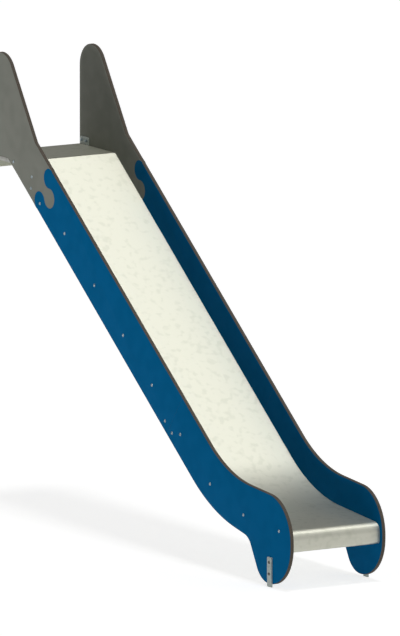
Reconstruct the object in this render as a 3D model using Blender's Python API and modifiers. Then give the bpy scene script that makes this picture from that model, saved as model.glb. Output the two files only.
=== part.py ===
"""Embankment slide: a stainless steel chute between two cut panels, with tall grey ears at the top.

Metres, +Z up. X runs across the slide, the exit points along -Y and the climb rises towards +Y.
The origin is the middle of the outer face of the start platform's back flange.
Side views are drawn in profile coordinates: (forward, up), where forward is -Y.
"""

import math

import bpy
from mathutils import Matrix

# Chute, in the side view
PLATFORM_HEIGHT = 1.757
PLATFORM_DEPTH = 0.350
SLOPE = math.radians(36.5)
RUNOUT_SLOPE = math.radians(4.5)
SLOPE_LENGTH = 2.382
SAG_TO_FOOT = 0.469
BED_RADIUS = 0.900
NOSE_REACH = 0.167
NOSE_RADIUS = 0.050
NOSE_DROP = 0.101
LIP_RADIUS = 0.018
LIP_RETURN = 0.025
SHEET = 0.003
BACK_FLANGE = 0.080

# Chute, across
INNER_WIDTH = 0.500
PANEL = 0.018
GAP = 0.0003

# Side flanges welded under the chute's edges
FLANGE_DEPTH = 0.030
FLANGE_PLATE = 0.004
FLANGE_NOSE_SETBACK = 0.075

# Side panels, measured square to the bed
PANEL_ABOVE = 0.150
PANEL_BELOW = 0.105
RUNOUT_BELOW = 0.098
BELLY_SLOPE = math.radians(11.0)
SEAM_GAP = 0.0012
SEAM_ALONG = 1.805

# Hook joint between the ears and the upper side panels: three touching circles
HOOK_RADIUS = 0.0495
HOOK_ALONG = 0.226

# Ears
EAR_SLOPE = math.radians(56.2)
EAR_TIP_RADIUS = 0.120
EAR_HEIGHT = 0.515
EAR_KINK_RADIUS = 0.050
EAR_BASE_BELOW_DECK = 0.008
EAR_HEEL_RADIUS = 0.010
EAR_CHIN_RADIUS = 0.030

# Lobes at the exit, measured from the foot bar's middle
LOBE_FRONT = 0.192
LOBE_CLEARANCE = 0.0125
LOBE_TOP_RADIUS = 0.220
LOBE_TOE_RADIUS = 0.205
LOBE_HEEL_RADIUS = 0.130
LOBE_BACK_LEAN = math.radians(60.0)
LOBE_BACK_CORNER = -0.095
KNEE_RADIUS = 0.090

# Foot bars on the panels' outer faces
FOOT_BAR_WIDTH = 0.040
FOOT_BAR_THICK = 0.008
FOOT_BAR_HEIGHT = 0.146

# Lugs that stand on the platform against the ears
LUG_LENGTH = 0.085
LUG_HEIGHT = 0.040
LUG_PLATE = 0.004
LUG_SETBACK = 0.012

# Plates and tubes behind the panel joints
JOINT_PLATE_LENGTH = 0.150
JOINT_PLATE_WIDTH = 0.044
JOINT_PLATE_THICK = 0.005
JOINT_BELOW = 0.062
HOOK_PLATE_ALONG = 0.182
SEAM_PLATE_ALONG = 1.797
TUBE_RADIUS = 0.017
TUBE_WALL = 0.0026

# Ribs under the deck and the bed: folded channels, open towards the sheet
RIB_WIDTH = 0.060
RIB_DEPTH = 0.025
RIB_SHEET = 0.003
DECK_RIB = 0.175
SLOPE_RIBS = (0.585, 0.990, 1.395, 2.160)
RUNOUT_RIB = 0.400

ARC_STEP = math.radians(6.0)
FLAT_ARC_STEP = math.radians(4.0)
TUBE_SIDES = 20

# Side view levels, from the middle of the back flange
DECK = BACK_FLANGE / 2
GROUND = DECK - PLATFORM_HEIGHT

# Finishes: colour, roughness, metallic
STEEL = ("brushed_steel", (0.62, 0.62, 0.57), 0.38, 1.0)
GREY = ("grey_panel", (0.16, 0.165, 0.14), 0.55, 0.0)
BLUE = ("blue_panel", (0.0, 0.080, 0.195), 0.45, 0.0)
BAR = ("galvanised_bar", (0.55, 0.57, 0.54), 0.45, 1.0)


def polar(angle, length):
    """Point at an angle and distance from zero."""
    return (math.cos(angle) * length, math.sin(angle) * length)


def shift(point, *moves):
    """Point moved by each of the moves."""
    return (point[0] + sum(move[0] for move in moves), point[1] + sum(move[1] for move in moves))


CREST = (PLATFORM_DEPTH, DECK)
SAG = shift(CREST, polar(-SLOPE, SLOPE_LENGTH))


def on_slope(along, above=0.0):
    """Profile point that far down the slope from the crest, and that far square above the bed."""
    return shift(CREST, polar(-SLOPE, along), polar(math.pi / 2 - SLOPE, above))


def on_runout(along, above=0.0):
    """Profile point that far along the run-out from where it meets the slope, and above the bed."""
    return shift(SAG, polar(-RUNOUT_SLOPE, along), polar(math.pi / 2 - RUNOUT_SLOPE, above))


def meet(point_a, angle_a, point_b, angle_b):
    """Point where two lines cross, each given by a point and a heading."""
    ax, ay = polar(angle_a, 1.0)
    bx, by = polar(angle_b, 1.0)
    dx, dy = point_b[0] - point_a[0], point_b[1] - point_a[1]
    reach = (dx * by - dy * bx) / (ax * by - ay * bx)
    return shift(point_a, (ax * reach, ay * reach))


def arc(centre, radius, start, end, step=ARC_STEP):
    """Points on an arc from one angle to another, both ends included."""
    count = max(2, math.ceil(abs(end - start) / step))
    return [shift(centre, polar(start + (end - start) * i / count, radius)) for i in range(count + 1)]


def round_corner(before, corner, after, radius):
    """Arc that rounds a corner between two straight runs."""
    into = math.atan2(corner[1] - before[1], corner[0] - before[0])
    out = math.atan2(after[1] - corner[1], after[0] - corner[0])
    turn = math.remainder(out - into, 2 * math.pi)
    side = math.copysign(1.0, turn)
    start = shift(corner, polar(into, -radius * math.tan(abs(turn) / 2)))
    centre = shift(start, polar(into + side * math.pi / 2, radius))
    first = into - side * math.pi / 2
    step = FLAT_ARC_STEP if radius > 0.5 else ARC_STEP
    return arc(centre, radius, first, first + turn, step)


def rounded(corners):
    """Closed outline through corners given as (point, radius), with round corners as arcs."""
    points = []
    for i, (corner, radius) in enumerate(corners):
        if radius == 0:
            points.append(corner)
            continue
        before = corners[i - 1][0]
        after = corners[(i + 1) % len(corners)][0]
        points += round_corner(before, corner, after, radius)
    return points


def sag_corner(above, runout_above=None):
    """Corner where the slope and the run-out meet at one offset, with its radius."""
    if runout_above is None:
        runout_above = above
    corner = meet(on_slope(0, above), -SLOPE, on_runout(0, runout_above), -RUNOUT_SLOPE)
    return (corner, BED_RADIUS - above)


FOOT = SAG[0] + SAG_TO_FOOT
NOSE_FRONT = FOOT + NOSE_REACH
SIDE_FACE = INNER_WIDTH / 2
PANEL_MIDDLE = SIDE_FACE + PANEL / 2

# Side view to world: forward is -Y, up is +Z
PROFILE_TO_WORLD = Matrix(((0, 0, -1, 0), (-1, 0, 0, 0), (0, 1, 0, 0), (0, 0, 0, 1)))

parts = bpy.data.collections.new("embankment_slide")


def finish_material(finish):
    """Principled material for a finish, made once."""
    name, colour, roughness, metallic = finish
    material = bpy.data.materials.get(name)
    if material is None:
        material = bpy.data.materials.new(name)
        material.use_nodes = True
        shader = material.node_tree.nodes["Principled BSDF"]
        shader.inputs["Base Color"].default_value = (*colour, 1.0)
        shader.inputs["Roughness"].default_value = roughness
        shader.inputs["Metallic"].default_value = metallic
    return material


def plate(name, outline, thickness, across, finish):
    """Flat piece cut to a side-view outline, centred at a distance across the slide."""
    curve = bpy.data.curves.new(name, "CURVE")
    curve.dimensions = "2D"
    curve.fill_mode = "BOTH"
    curve.extrude = thickness / 2
    spline = curve.splines.new("POLY")
    spline.points.add(len(outline) - 1)
    for point, (forward, up) in zip(spline.points, outline):
        point.co = (forward, up, 0.0, 1.0)
    spline.use_cyclic_u = True
    curve.materials.append(finish_material(finish))
    piece = bpy.data.objects.new(name, curve)
    piece.matrix_world = Matrix.Translation((across, 0, 0)) @ PROFILE_TO_WORLD
    parts.objects.link(piece)
    return piece


def both_sides(build, *args):
    """Build a piece on the left, at -X, and on the right."""
    build("left", -1.0, *args)
    build("right", 1.0, *args)


def bar_outline(middle, angle, length, width):
    """Rectangle in the side view, around its middle."""
    ends = [(-length / 2, -width / 2), (length / 2, -width / 2), (length / 2, width / 2), (-length / 2, width / 2)]
    return [shift(middle, polar(angle, a), polar(angle + math.pi / 2, b)) for a, b in ends]


def crest_mitre(offset):
    """Underside end of the mitre at the crest, moved forward by an offset."""
    corner = meet((0, DECK - SHEET), 0, on_slope(0, -SHEET), -SLOPE)
    return shift(corner, (offset, 0))


def build_platform():
    """Start platform: a flat deck with its back edge folded down as the fixing flange."""
    low = -BACK_FLANGE / 2
    outline = [
        (0, low),
        (0, DECK),
        shift(CREST, (-GAP, 0)),
        crest_mitre(-GAP),
        (SHEET, DECK - SHEET),
        (SHEET, low),
    ]
    plate("start_platform", outline, INNER_WIDTH - 2 * GAP, 0.0, STEEL)


def bed_profile(above):
    """Corners along the bed, the run-out, the rolled nose and the lip, at one offset from the surface."""
    front = NOSE_FRONT + above
    nose = meet(on_runout(0, above), -RUNOUT_SLOPE, (front, 0), math.pi / 2)
    lip = on_runout((NOSE_FRONT - SAG[0]) / math.cos(RUNOUT_SLOPE))[1] - NOSE_DROP - above
    return [
        sag_corner(above),
        (nose, NOSE_RADIUS + above),
        ((front, lip), LIP_RADIUS + above),
        ((NOSE_FRONT - LIP_RADIUS - LIP_RETURN, lip), 0),
    ]


def build_bed():
    """Slide bed in one bent sheet, from the crest to the lip under the nose."""
    upper = [(CREST, 0)] + bed_profile(0.0)
    lower = [(crest_mitre(0), 0)] + bed_profile(-SHEET)
    plate("slide_bed", rounded(upper + lower[::-1]), INNER_WIDTH - 2 * GAP, 0.0, STEEL)


def build_chute_flange(side, sign):
    """Steel flat on edge, welded under the deck and the bed along one side."""
    top = -SHEET - GAP
    low = top - FLANGE_DEPTH
    deck_back = SHEET + GAP
    runout_end = (NOSE_FRONT - FLANGE_NOSE_SETBACK - SAG[0]) / math.cos(RUNOUT_SLOPE)
    corners = [
        ((deck_back, DECK + top), 0),
        (meet((0, DECK + top), 0, on_slope(0, top), -SLOPE), 0),
        sag_corner(top),
        (on_runout(runout_end, top), 0),
        (on_runout(runout_end, low), 0),
        sag_corner(low),
        (meet((0, DECK + low), 0, on_slope(0, low), -SLOPE), 0),
        ((deck_back, DECK + low), 0),
    ]
    across = sign * (SIDE_FACE - GAP - FLANGE_PLATE / 2)
    plate(f"chute_flange_{side}", rounded(corners), FLANGE_PLATE, across, STEEL)


def hook_joint(clearance):
    """Hook joint from the top edge to the lower edge, in (along, above); clearance is the ears' side."""
    reach = (PANEL_ABOVE + PANEL_BELOW) / 2 - HOOK_RADIUS
    knob_offset = math.sqrt((2 * HOOK_RADIUS) ** 2 - reach**2)
    lean = math.atan2(reach, knob_offset)
    outer = HOOK_RADIUS + clearance
    inner = HOOK_RADIUS - clearance
    open_at = math.acos(min(1.0, HOOK_RADIUS / outer)) if clearance > 0 else 0.0
    top = (HOOK_ALONG, PANEL_ABOVE - HOOK_RADIUS)
    knob = (HOOK_ALONG + knob_offset, top[1] - reach)
    tip = (HOOK_ALONG, knob[1] - reach)
    quarter = math.pi / 2
    points = arc(top, outer, quarter + open_at, 2 * math.pi - lean)
    points += arc(knob, inner, math.pi - lean, lean - math.pi)[1:]
    points += arc(tip, outer, lean, 3 * quarter - open_at)[1:]
    return points


def build_ear(side, sign):
    """Grey ear panel beside the platform, with the hook joint cut at its lower end."""
    tip_top = DECK + EAR_HEIGHT
    tip_centre = (EAR_TIP_RADIUS, tip_top - EAR_TIP_RADIUS)
    front_point = shift(tip_centre, polar(math.pi / 2 - EAR_SLOPE, EAR_TIP_RADIUS))
    tip_corner = meet((0, 0), math.pi / 2, front_point, -EAR_SLOPE)
    kink = meet(front_point, -EAR_SLOPE, on_slope(0, PANEL_ABOVE), -SLOPE)
    base = DECK - EAR_BASE_BELOW_DECK
    chin = meet((0, base), 0, on_slope(0, -PANEL_BELOW), -SLOPE)
    joint = [on_slope(*point) for point in hook_joint(SEAM_GAP / 2)]
    corners = [((0, base), EAR_HEEL_RADIUS), (tip_corner, EAR_TIP_RADIUS), (kink, EAR_KINK_RADIUS)]
    corners += [(point, 0) for point in joint]
    corners += [(chin, EAR_CHIN_RADIUS)]
    plate(f"ear_panel_{side}", rounded(corners), PANEL, sign * PANEL_MIDDLE, GREY)


def build_upper_side(side, sign):
    """Blue panel from the hook joint down to the plain seam."""
    seam = SEAM_ALONG - SEAM_GAP / 2
    joint = hook_joint(-SEAM_GAP / 2)
    outline = [(HOOK_ALONG, PANEL_ABOVE)] + joint + [(HOOK_ALONG, -PANEL_BELOW)]
    outline += [(seam, -PANEL_BELOW), (seam, PANEL_ABOVE)]
    points = [on_slope(*point) for point in outline]
    plate(f"upper_side_panel_{side}", points, PANEL, sign * PANEL_MIDDLE, BLUE)


def belly_corner():
    """Corner of the panels' lower edge, where its bend leaves the slope's heading for the belly's."""
    sag, radius = sag_corner(-PANEL_BELOW, -RUNOUT_BELOW)
    run = radius * math.tan((SLOPE - RUNOUT_SLOPE) / 2)
    centre = shift(sag, polar(-SLOPE, -run), polar(math.pi / 2 - SLOPE, radius))
    touch = shift(centre, polar(-math.pi / 2 - BELLY_SLOPE, radius))
    return (meet(sag, -SLOPE, touch, -BELLY_SLOPE), radius)


def build_lower_side(side, sign):
    """Blue panel from the seam round the run-out, ending in the rounded lobe above the ground."""
    seam = SEAM_ALONG + SEAM_GAP / 2
    front = FOOT + LOBE_FRONT
    bottom = GROUND + LOBE_CLEARANCE
    heel = (FOOT + LOBE_BACK_CORNER, bottom)
    belly, belly_radius = belly_corner()
    knee = meet(heel, math.pi - LOBE_BACK_LEAN, belly, -BELLY_SLOPE)
    corners = [
        (on_slope(seam, PANEL_ABOVE), 0),
        sag_corner(PANEL_ABOVE),
        (meet(on_runout(0, PANEL_ABOVE), -RUNOUT_SLOPE, (front, 0), math.pi / 2), LOBE_TOP_RADIUS),
        ((front, bottom), LOBE_TOE_RADIUS),
        (heel, LOBE_HEEL_RADIUS),
        (knee, KNEE_RADIUS),
        (belly, belly_radius),
        (on_slope(seam, -PANEL_BELOW), 0),
    ]
    plate(f"lower_side_panel_{side}", rounded(corners), PANEL, sign * PANEL_MIDDLE, BLUE)


def build_foot_bar(side, sign):
    """Flat bar down the outer face of a lobe to ground level."""
    middle = (FOOT, GROUND + FOOT_BAR_HEIGHT / 2)
    outline = bar_outline(middle, math.pi / 2, FOOT_BAR_HEIGHT, FOOT_BAR_WIDTH)
    across = sign * (SIDE_FACE + PANEL + GAP + FOOT_BAR_THICK / 2)
    plate(f"foot_bar_{side}", outline, FOOT_BAR_THICK, across, BAR)


def build_lug(side, sign):
    """Lug that stands on the platform and is bolted to the ear."""
    middle = (LUG_SETBACK + LUG_LENGTH / 2, DECK + GAP + LUG_HEIGHT / 2)
    outline = bar_outline(middle, 0, LUG_LENGTH, LUG_HEIGHT)
    plate(f"ear_lug_{side}", outline, LUG_PLATE, sign * (SIDE_FACE - GAP - LUG_PLATE / 2), BAR)


def build_joint_plate(side, sign, name, along):
    """Plate that ties two side panels together, on their inner faces under the bed."""
    outline = bar_outline(on_slope(along, -JOINT_BELOW), -SLOPE, JOINT_PLATE_LENGTH, JOINT_PLATE_WIDTH)
    across = sign * (SIDE_FACE - GAP - JOINT_PLATE_THICK / 2)
    plate(f"{name}_{side}", outline, JOINT_PLATE_THICK, across, BAR)


def build_cross_tube(name, along):
    """Round tube across the slide between two joint plates, hollow and open against the plates."""
    length = INNER_WIDTH - 2 * (2 * GAP + JOINT_PLATE_THICK)
    forward, up = on_slope(along, -JOINT_BELOW)
    bpy.ops.mesh.primitive_cylinder_add(vertices=TUBE_SIDES, radius=TUBE_RADIUS, depth=length, end_fill_type="NOTHING")
    piece = bpy.context.object
    piece.name = name
    piece.rotation_euler = (0, math.pi / 2, 0)
    piece.location = (0, -forward, up)
    wall = piece.modifiers.new("wall", "SOLIDIFY")
    wall.thickness = TUBE_WALL
    wall.offset = -1.0
    piece.data.materials.append(finish_material(BAR))
    piece.data.shade_smooth()
    for collection in list(piece.users_collection):
        collection.objects.unlink(piece)
    parts.objects.link(piece)


def build_rib(name, middle, angle):
    """Folded channel across the slide, with both legs up against the bed's underside."""
    half = RIB_WIDTH / 2
    wall = RIB_SHEET
    section = [(-half, 0), (-half, -RIB_DEPTH), (half, -RIB_DEPTH), (half, 0)]
    section += [(half - wall, 0), (half - wall, wall - RIB_DEPTH), (wall - half, wall - RIB_DEPTH), (wall - half, 0)]
    outline = [shift(middle, polar(angle, a), polar(angle + math.pi / 2, b)) for a, b in section]
    length = INNER_WIDTH - 2 * (2 * GAP + FLANGE_PLATE)
    plate(name, outline, length, 0.0, BAR)


def build_ribs():
    """One rib under the deck, four under the straight bed and one under the run-out."""
    below = -SHEET - GAP
    build_rib("deck_rib", (DECK_RIB, DECK + below), 0.0)
    for number, along in enumerate(SLOPE_RIBS, start=1):
        build_rib(f"bed_rib_{number}", on_slope(along, below), -SLOPE)
    build_rib("runout_rib", on_runout(RUNOUT_RIB, below), -RUNOUT_SLOPE)


def build_slide():
    """Build the whole slide in its collection."""
    for old in list(bpy.data.objects):
        bpy.data.objects.remove(old)
    bpy.context.scene.collection.children.link(parts)
    build_platform()
    build_bed()
    both_sides(build_chute_flange)
    both_sides(build_ear)
    both_sides(build_upper_side)
    both_sides(build_lower_side)
    both_sides(build_foot_bar)
    both_sides(build_lug)
    both_sides(build_joint_plate, "hook_joint_plate", HOOK_PLATE_ALONG)
    both_sides(build_joint_plate, "seam_joint_plate", SEAM_PLATE_ALONG)
    build_cross_tube("upper_cross_tube", HOOK_PLATE_ALONG)
    build_cross_tube("lower_cross_tube", SEAM_PLATE_ALONG)
    build_ribs()


build_slide()
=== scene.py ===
"""Looks of the embankment slide: a satin steel chute between blue panels, with grey ears at the top.

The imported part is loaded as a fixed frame. Finer pieces are built over its solids, and each gets its finish.
Metres, +Z up. Side views are drawn in profile coordinates: (forward, up), where forward is -Y.
"""

from __future__ import annotations

import logging
import math
from dataclasses import dataclass
from enum import Enum
from typing import Any, Callable

import bmesh
import bpy
from mathutils import Matrix, Vector


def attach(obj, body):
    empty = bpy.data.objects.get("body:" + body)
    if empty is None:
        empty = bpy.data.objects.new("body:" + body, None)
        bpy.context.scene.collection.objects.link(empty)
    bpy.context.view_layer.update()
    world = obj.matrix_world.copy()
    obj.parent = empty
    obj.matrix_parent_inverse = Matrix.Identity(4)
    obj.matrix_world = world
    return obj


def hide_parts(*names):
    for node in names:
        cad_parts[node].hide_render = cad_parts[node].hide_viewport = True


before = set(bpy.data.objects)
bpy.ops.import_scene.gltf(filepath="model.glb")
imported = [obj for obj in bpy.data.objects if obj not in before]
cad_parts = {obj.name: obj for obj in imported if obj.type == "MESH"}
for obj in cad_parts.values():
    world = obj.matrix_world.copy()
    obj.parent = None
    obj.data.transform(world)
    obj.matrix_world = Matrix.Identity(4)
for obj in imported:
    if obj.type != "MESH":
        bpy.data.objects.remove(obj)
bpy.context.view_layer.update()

log = logging.getLogger("embankment_slide")

Point = tuple[float, float]
Corners = list[tuple[Point, float]]
Colour = tuple[float, float, float]

WHITE: Colour = (1.0, 1.0, 1.0)

ROOT = "root"
ARC_STEP = math.radians(2.5)
# Arcs wider than this get twice as many points.
LONG_RADIUS = 0.5
# Points nearer than this are one.
MERGE = 1e-6
# Decimals that two points share when they count as the same.
SAME_DIGITS = 7
# Two edges that turn by less than this, as a sine, are inset as one line.
STRAIGHT = 0.2
# Faces that meet at more than these angles keep a sharp edge between them.
RIM_SHARP = math.radians(32)
FOLD_SHARP = math.radians(35)
HEAD_SHARP = math.radians(24)


class Side(Enum):
    """The two sides of the slide, by the sign of X."""

    LEFT = -1.0
    RIGHT = 1.0

    @property
    def label(self) -> str:
        """Name of the side in the names of pieces."""
        return self.name.lower()


class Slot(Enum):
    """The record's material slots."""

    STEEL = "steel"
    GREY = "grey_panel"
    BLUE = "blue_panel"
    BAR = "zinc_bar"


# ---- side view geometry ----


def polar(angle: float, length: float) -> Point:
    """Point at an angle and a distance from zero."""
    return (math.cos(angle) * length, math.sin(angle) * length)


def shift(point: Point, *moves: Point) -> Point:
    """Point moved by each of the moves."""
    return (point[0] + sum(m[0] for m in moves), point[1] + sum(m[1] for m in moves))


def meet(point_a: Point, angle_a: float, point_b: Point, angle_b: float) -> Point:
    """Find where two lines cross.

    Args:
        point_a: A point on the first line.
        angle_a: Heading of the first line.
        point_b: A point on the second line.
        angle_b: Heading of the second line.

    Returns:
        The crossing point.
    """
    ax, ay = polar(angle_a, 1.0)
    bx, by = polar(angle_b, 1.0)
    dx, dy = point_b[0] - point_a[0], point_b[1] - point_a[1]
    reach = (dx * by - dy * bx) / (ax * by - ay * bx)
    return shift(point_a, (ax * reach, ay * reach))


def arc(centre: Point, radius: float, start: float, end: float) -> list[Point]:
    """Points on an arc, both ends included.

    Args:
        centre: Centre of the arc.
        radius: Radius of the arc.
        start: Angle of the first point.
        end: Angle of the last point.

    Returns:
        The points in order.
    """
    step = ARC_STEP / 2 if radius > LONG_RADIUS else ARC_STEP
    count = max(3, math.ceil(abs(end - start) / step))
    return [shift(centre, polar(start + (end - start) * i / count, radius)) for i in range(count + 1)]


def round_corner(before: Point, corner: Point, after: Point, radius: float) -> list[Point]:
    """Round a corner between two straight runs.

    Args:
        before: Corner before this one.
        corner: The corner itself.
        after: Corner after this one.
        radius: Radius of the rounding.

    Returns:
        Points of the arc that takes the corner's place.
    """
    into = math.atan2(corner[1] - before[1], corner[0] - before[0])
    out = math.atan2(after[1] - corner[1], after[0] - corner[0])
    turn = math.remainder(out - into, 2 * math.pi)
    side = math.copysign(1.0, turn)
    start = shift(corner, polar(into, -radius * math.tan(abs(turn) / 2)))
    centre = shift(start, polar(into + side * math.pi / 2, radius))
    first = into - side * math.pi / 2
    return arc(centre, radius, first, first + turn)


def rounded(corners: Corners) -> list[Point]:
    """Closed outline through corners, with the round ones as arcs.

    Args:
        corners: Each corner with its radius, where 0 is sharp.

    Returns:
        Points of the outline.
    """
    points: list[Point] = []
    for i, (corner, radius) in enumerate(corners):
        if radius == 0:
            points.append(corner)
        else:
            points += round_corner(corners[i - 1][0], corner, corners[(i + 1) % len(corners)][0], radius)
    return points


def box_corners(middle: Point, angle: float, length: float, width: float, radii: tuple[float, ...]) -> Corners:
    """Corners of a turned rectangle.

    Args:
        middle: Middle of the rectangle.
        angle: Heading of its length.
        length: Its length.
        width: Its width.
        radii: Radius of each corner, round from the one at the back of the length and of the width.

    Returns:
        Corners for rounded().
    """
    ends = [(-length / 2, -width / 2), (length / 2, -width / 2), (length / 2, width / 2), (-length / 2, width / 2)]
    return [
        (shift(middle, polar(angle, a), polar(angle + math.pi / 2, b)), radius)
        for (a, b), radius in zip(ends, radii)
    ]


@dataclass(frozen=True)
class SideView:
    """Main sizes of the slide in the side view, the same as in the part's source."""

    platform_height: float = 1.757
    platform_depth: float = 0.350
    slope: float = math.radians(36.5)
    runout_slope: float = math.radians(4.5)
    slope_length: float = 2.382
    sag_to_foot: float = 0.469
    bed_radius: float = 0.900
    nose_reach: float = 0.167
    sheet: float = 0.003
    back_flange: float = 0.080
    half_width: float = 0.250
    panel: float = 0.018
    gap: float = 0.0003
    panel_above: float = 0.150
    panel_below: float = 0.105
    runout_below: float = 0.098

    @property
    def deck(self) -> float:
        """Level of the platform's top."""
        return self.back_flange / 2

    @property
    def ground(self) -> float:
        """Level of the ground at the exit."""
        return self.deck - self.platform_height

    @property
    def crest(self) -> Point:
        """Where the platform meets the slope."""
        return (self.platform_depth, self.deck)

    @property
    def sag(self) -> Point:
        """Where the slope's and the run-out's lines meet."""
        return shift(self.crest, polar(-self.slope, self.slope_length))

    @property
    def foot(self) -> float:
        """Forward distance of the foot bars' middle."""
        return self.sag[0] + self.sag_to_foot

    @property
    def nose_front(self) -> float:
        """Forward distance of the nose's front."""
        return self.foot + self.nose_reach

    def on_slope(self, along: float, above: float = 0.0) -> Point:
        """Point that far down the slope from the crest, and that far above the bed."""
        return shift(self.crest, polar(-self.slope, along), polar(math.pi / 2 - self.slope, above))

    def on_runout(self, along: float, above: float = 0.0) -> Point:
        """Point that far along the run-out from the sag, and that far above the bed."""
        return shift(self.sag, polar(-self.runout_slope, along), polar(math.pi / 2 - self.runout_slope, above))

    def sag_corner(self, above: float, runout_above: float | None = None) -> tuple[Point, float]:
        """Corner between the slope's and the run-out's lines at one offset, with its radius.

        Args:
            above: Offset above the bed.
            runout_above: Offset above the run-out, where it differs.

        Returns:
            The corner and its radius.
        """
        level = above if runout_above is None else runout_above
        corner = meet(self.on_slope(0, above), -self.slope, self.on_runout(0, level), -self.runout_slope)
        return (corner, self.bed_radius - above)

    def along_bed(self, length: float, above: float) -> tuple[Point, float]:
        """Point that far along the bed's surface from the crest.

        Args:
            length: Distance along the surface, round the bend too.
            above: Offset above the bed.

        Returns:
            The point and the heading there.
        """
        turn = self.slope - self.runout_slope
        tangent = self.bed_radius * math.tan(turn / 2)
        bend_start = self.slope_length - tangent
        bend_length = self.bed_radius * turn
        if length < bend_start:
            return self.on_slope(length, above), -self.slope
        if length > bend_start + bend_length:
            along = length - bend_start - bend_length + tangent
            return self.on_runout(along, above), -self.runout_slope
        heading = -self.slope + (length - bend_start) / self.bed_radius
        centre = shift(self.on_slope(bend_start), polar(math.pi / 2 - self.slope, self.bed_radius))
        return shift(centre, polar(heading - math.pi / 2, self.bed_radius - above)), heading


VIEW = SideView()


# ---- node trees ----


class Graph:
    """Adds nodes to a tree and joins them."""

    def __init__(self, tree: bpy.types.NodeTree) -> None:
        """Hold the tree that the nodes go into."""
        self.tree = tree

    def add(self, kind: str, inputs: dict[str | int, Any] | None = None, **settings: Any) -> bpy.types.Node:
        """Add one node, set its properties and feed its inputs.

        Args:
            kind: The node's type name.
            inputs: Values, sockets or lists of sockets, by input name or number.
            **settings: The node's properties.

        Returns:
            The new node.
        """
        node = self.tree.nodes.new(kind)
        for key, value in settings.items():
            setattr(node, key, value)
        self.feed(node, inputs or {})
        return node

    def feed(self, node: bpy.types.Node, inputs: dict[str | int, Any]) -> None:
        """Feed a node's inputs.

        Args:
            node: The node.
            inputs: Values, sockets or lists of sockets, by input name or number.
        """
        for key, value in inputs.items():
            for source in value if isinstance(value, list) else [value]:
                if isinstance(source, bpy.types.NodeSocket):
                    self.tree.links.new(source, node.inputs[key])
                else:
                    node.inputs[key].default_value = source

    def math(self, operation: str, a: Any, b: Any = 0.0) -> bpy.types.NodeSocket:
        """Result of one math node."""
        return self.add("ShaderNodeMath", {0: a, 1: b}, operation=operation).outputs[0]

    def vector(self, x: Any = 0.0, y: Any = 0.0, z: Any = 0.0) -> bpy.types.NodeSocket:
        """Vector made of three values."""
        return self.add("ShaderNodeCombineXYZ", {0: x, 1: y, 2: z}).outputs[0]

    def mix(self, factor: Any, a: Any, b: Any) -> bpy.types.NodeSocket:
        """Number that goes from a to b with the factor."""
        return self.add("ShaderNodeMix", {0: factor, 2: a, 3: b}).outputs[0]

    def blend(self, factor: Any, a: Any, b: Any) -> bpy.types.NodeSocket:
        """Colour that goes from a to b with the factor."""
        return self.add("ShaderNodeMix", {0: factor, 6: a, 7: b}, data_type="RGBA").outputs[2]

    def fade(self, value: Any, low: Any, high: Any) -> bpy.types.NodeSocket:
        """Soft step from 0 at the low value to 1 at the high one."""
        inputs = {"Value": value, "From Min": low, "From Max": high}
        return self.add("ShaderNodeMapRange", inputs, interpolation_type="SMOOTHSTEP").outputs[0]

    def random(self, low: float, high: float, seed: Any) -> bpy.types.NodeSocket:
        """Random number for each point."""
        return self.add("FunctionNodeRandomValue", {2: low, 3: high, "Seed": seed}, data_type="FLOAT").outputs[1]


Fill = Callable[[Graph, bpy.types.Node, bpy.types.Node], None]
Inputs = list[tuple[str, str, Any]]


def grouped(kind: str, name: str, inputs: Inputs, outputs: list[tuple[str, str]], fill: Fill) -> bpy.types.NodeTree:
    """Make a node group with named inputs and outputs, once.

    Args:
        kind: Type of the tree.
        name: Name of the group.
        inputs: Name, socket type and default of each input.
        outputs: Name and socket type of each output.
        fill: Adds the nodes between the group's input and output nodes.

    Returns:
        The group.
    """
    tree = bpy.data.node_groups.get(name)
    if tree is not None:
        return tree
    tree = bpy.data.node_groups.new(name, kind)
    for label, socket_type, default in inputs:
        socket = tree.interface.new_socket(name=label, in_out="INPUT", socket_type=socket_type)
        if default is not None:
            socket.default_value = default
    for label, socket_type in outputs:
        tree.interface.new_socket(name=label, in_out="OUTPUT", socket_type=socket_type)
    graph = Graph(tree)
    fill(graph, graph.add("NodeGroupInput"), graph.add("NodeGroupOutput"))
    return tree


FLOAT = "NodeSocketFloat"
INT = "NodeSocketInt"
VECTOR = "NodeSocketVector"
COLOUR = "NodeSocketColor"
GEOMETRY = "NodeSocketGeometry"
MATERIAL = "NodeSocketMaterial"

# Spots and clouds of the mottling: share of the clouds, and their scale against the spots'.
CLOUD_SHARE = 0.25
CLOUD_SCALE = 0.22
# Noise that breaks the layers' lines up: how far it shifts them, in layers, and its scale.
PLY_WOBBLE = 0.35
PLY_WOBBLE_SCALE = 90.0
# Where a layer's dark line starts to fade and has gone, in layers from its middle.
PLY_LINE = (0.1, 0.4)


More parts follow.
